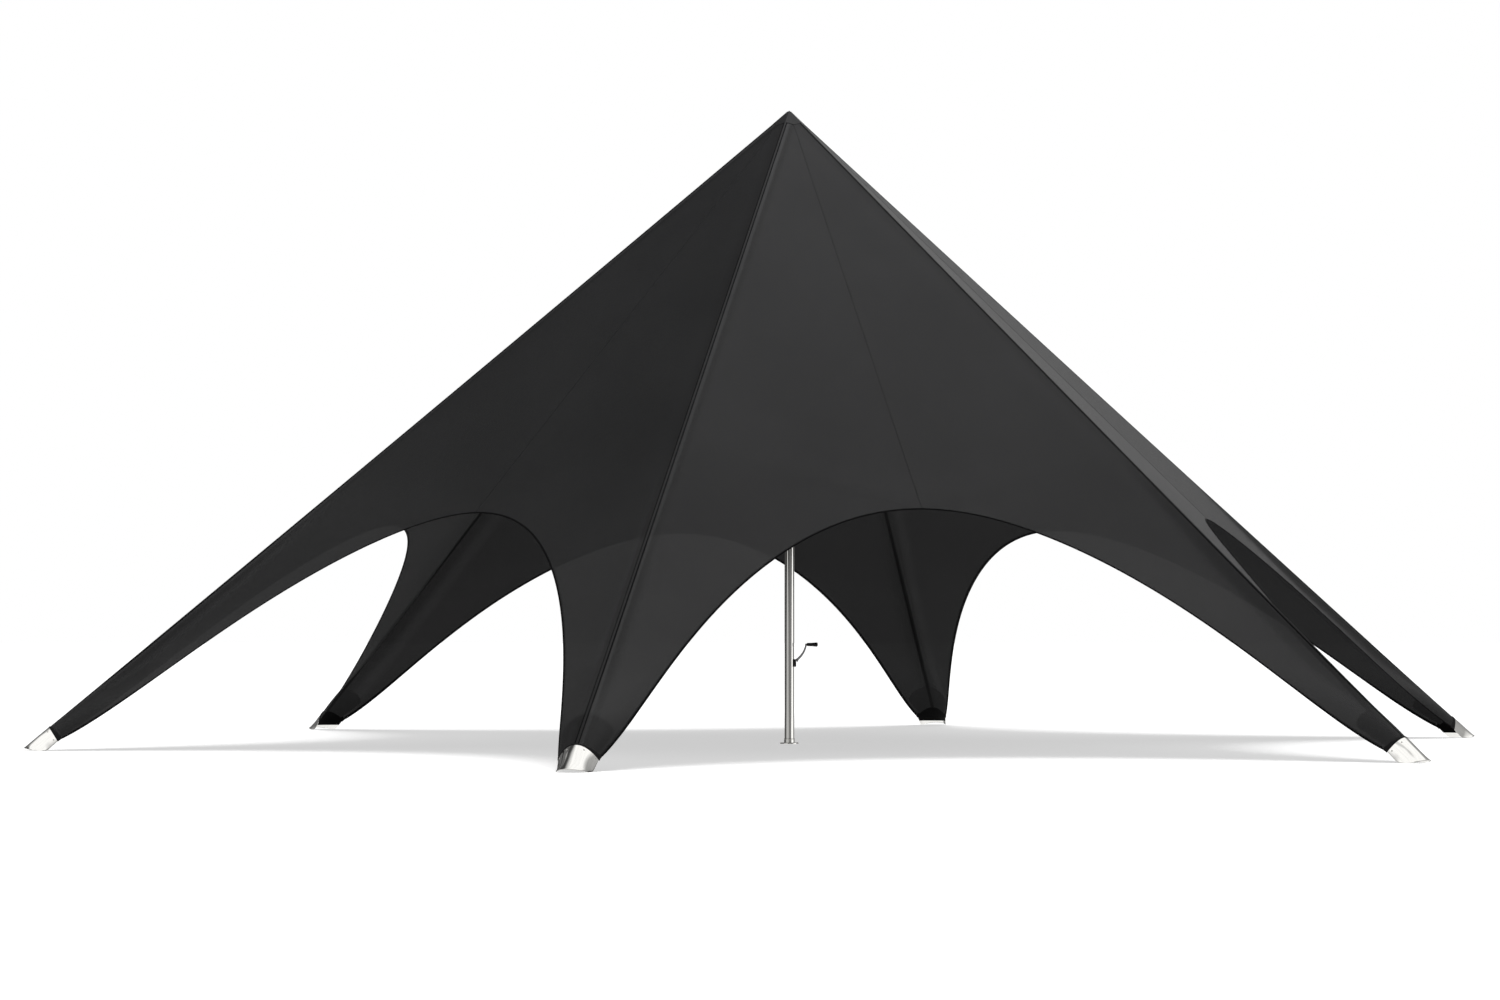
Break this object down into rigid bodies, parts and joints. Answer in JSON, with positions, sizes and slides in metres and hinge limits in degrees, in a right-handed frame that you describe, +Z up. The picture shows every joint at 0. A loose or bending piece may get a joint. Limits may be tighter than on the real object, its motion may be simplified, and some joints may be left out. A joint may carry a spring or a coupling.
{
  "type": "star tent",
  "caption": "Star-shaped tensile tent on one central crank mast, with arched openings between its legs and curved steel foot caps.",
  "frame": {"origin": "on the ground under the middle of the mast, at the centre of the base plate's underside", "axes": "+Z up along the mast; +X towards the foot of the right leg, the legs follow every 60 degrees; the crank points between the right and front right legs"},
  "size_m": [13, 11.3296, 5.5023],
  "materials": {
    "canopy_cloth": "matt woven polyester",
    "black_webbing": "matt webbing",
    "black_reinforcement": "coated, low sheen",
    "polished_steel": "polished stainless",
    "satin_aluminium": "satin",
    "black_paint": "satin black",
    "black_plastic": "matt black"
  },
  "bodies": {
    "tent": {"right_gore_a": "canopy_cloth", "right_gore_b": "canopy_cloth", "right_ridge_webbing": "black_webbing", "right_foot_patch": "black_reinforcement", "right_foot_cap": "polished_steel", "back_right_gore_a": "canopy_cloth", "back_right_gore_b": "canopy_cloth", "back_right_ridge_webbing": "black_webbing", "back_right_foot_patch": "black_reinforcement", "back_right_foot_cap": "polished_steel", "back_left_gore_a": "canopy_cloth", "back_left_gore_b": "canopy_cloth", "back_left_ridge_webbing": "black_webbing", "back_left_foot_patch": "black_reinforcement", "back_left_foot_cap": "polished_steel", "left_gore_a": "canopy_cloth", "left_gore_b": "canopy_cloth", "left_ridge_webbing": "black_webbing", "left_foot_patch": "black_reinforcement", "left_foot_cap": "polished_steel", "front_left_gore_a": "canopy_cloth", "front_left_gore_b": "canopy_cloth", "front_left_ridge_webbing": "black_webbing", "front_left_foot_patch": "black_reinforcement", "front_left_foot_cap": "polished_steel", "front_right_gore_a": "canopy_cloth", "front_right_gore_b": "canopy_cloth", "front_right_ridge_webbing": "black_webbing", "front_right_foot_patch": "black_reinforcement", "front_right_foot_cap": "polished_steel", "peak_cap": "black_reinforcement", "mast_base_plate": "polished_steel", "mast_base_collar": "polished_steel", "lower_mast_tube": "satin_aluminium", "mast_guide_collar": "black_plastic", "winch_housing": "black_paint"},
    "mast_top": {"upper_mast_tube": "satin_aluminium", "mast_head": "black_plastic"},
    "crank": {"crank_arm": "polished_steel"},
    "grip": {"crank_grip": "black_plastic"}
  },
  "joints": [
    {"name": "crank_turn", "type": "hinge", "parent": "tent", "child": "crank", "pos_m": [0, 0, 0.718], "axis": [0.866, -0.5, 0], "range_deg": [-3600, 0]},
    {"name": "mast_slide", "type": "slide", "parent": "tent", "child": "mast_top", "axis": [0, 0, 1], "range_m": [-0.3, 0]},
    {"name": "grip_spin", "type": "hinge", "parent": "crank", "child": "grip", "pos_m": [0.17321, -0.1, 0.856], "axis": [0.866, -0.5, 0], "continuous": true}
  ],
  "couplings": [
    {"joint": "mast_slide", "follows": "crank_turn", "m_per_rad": 0.0047746}
  ]
}
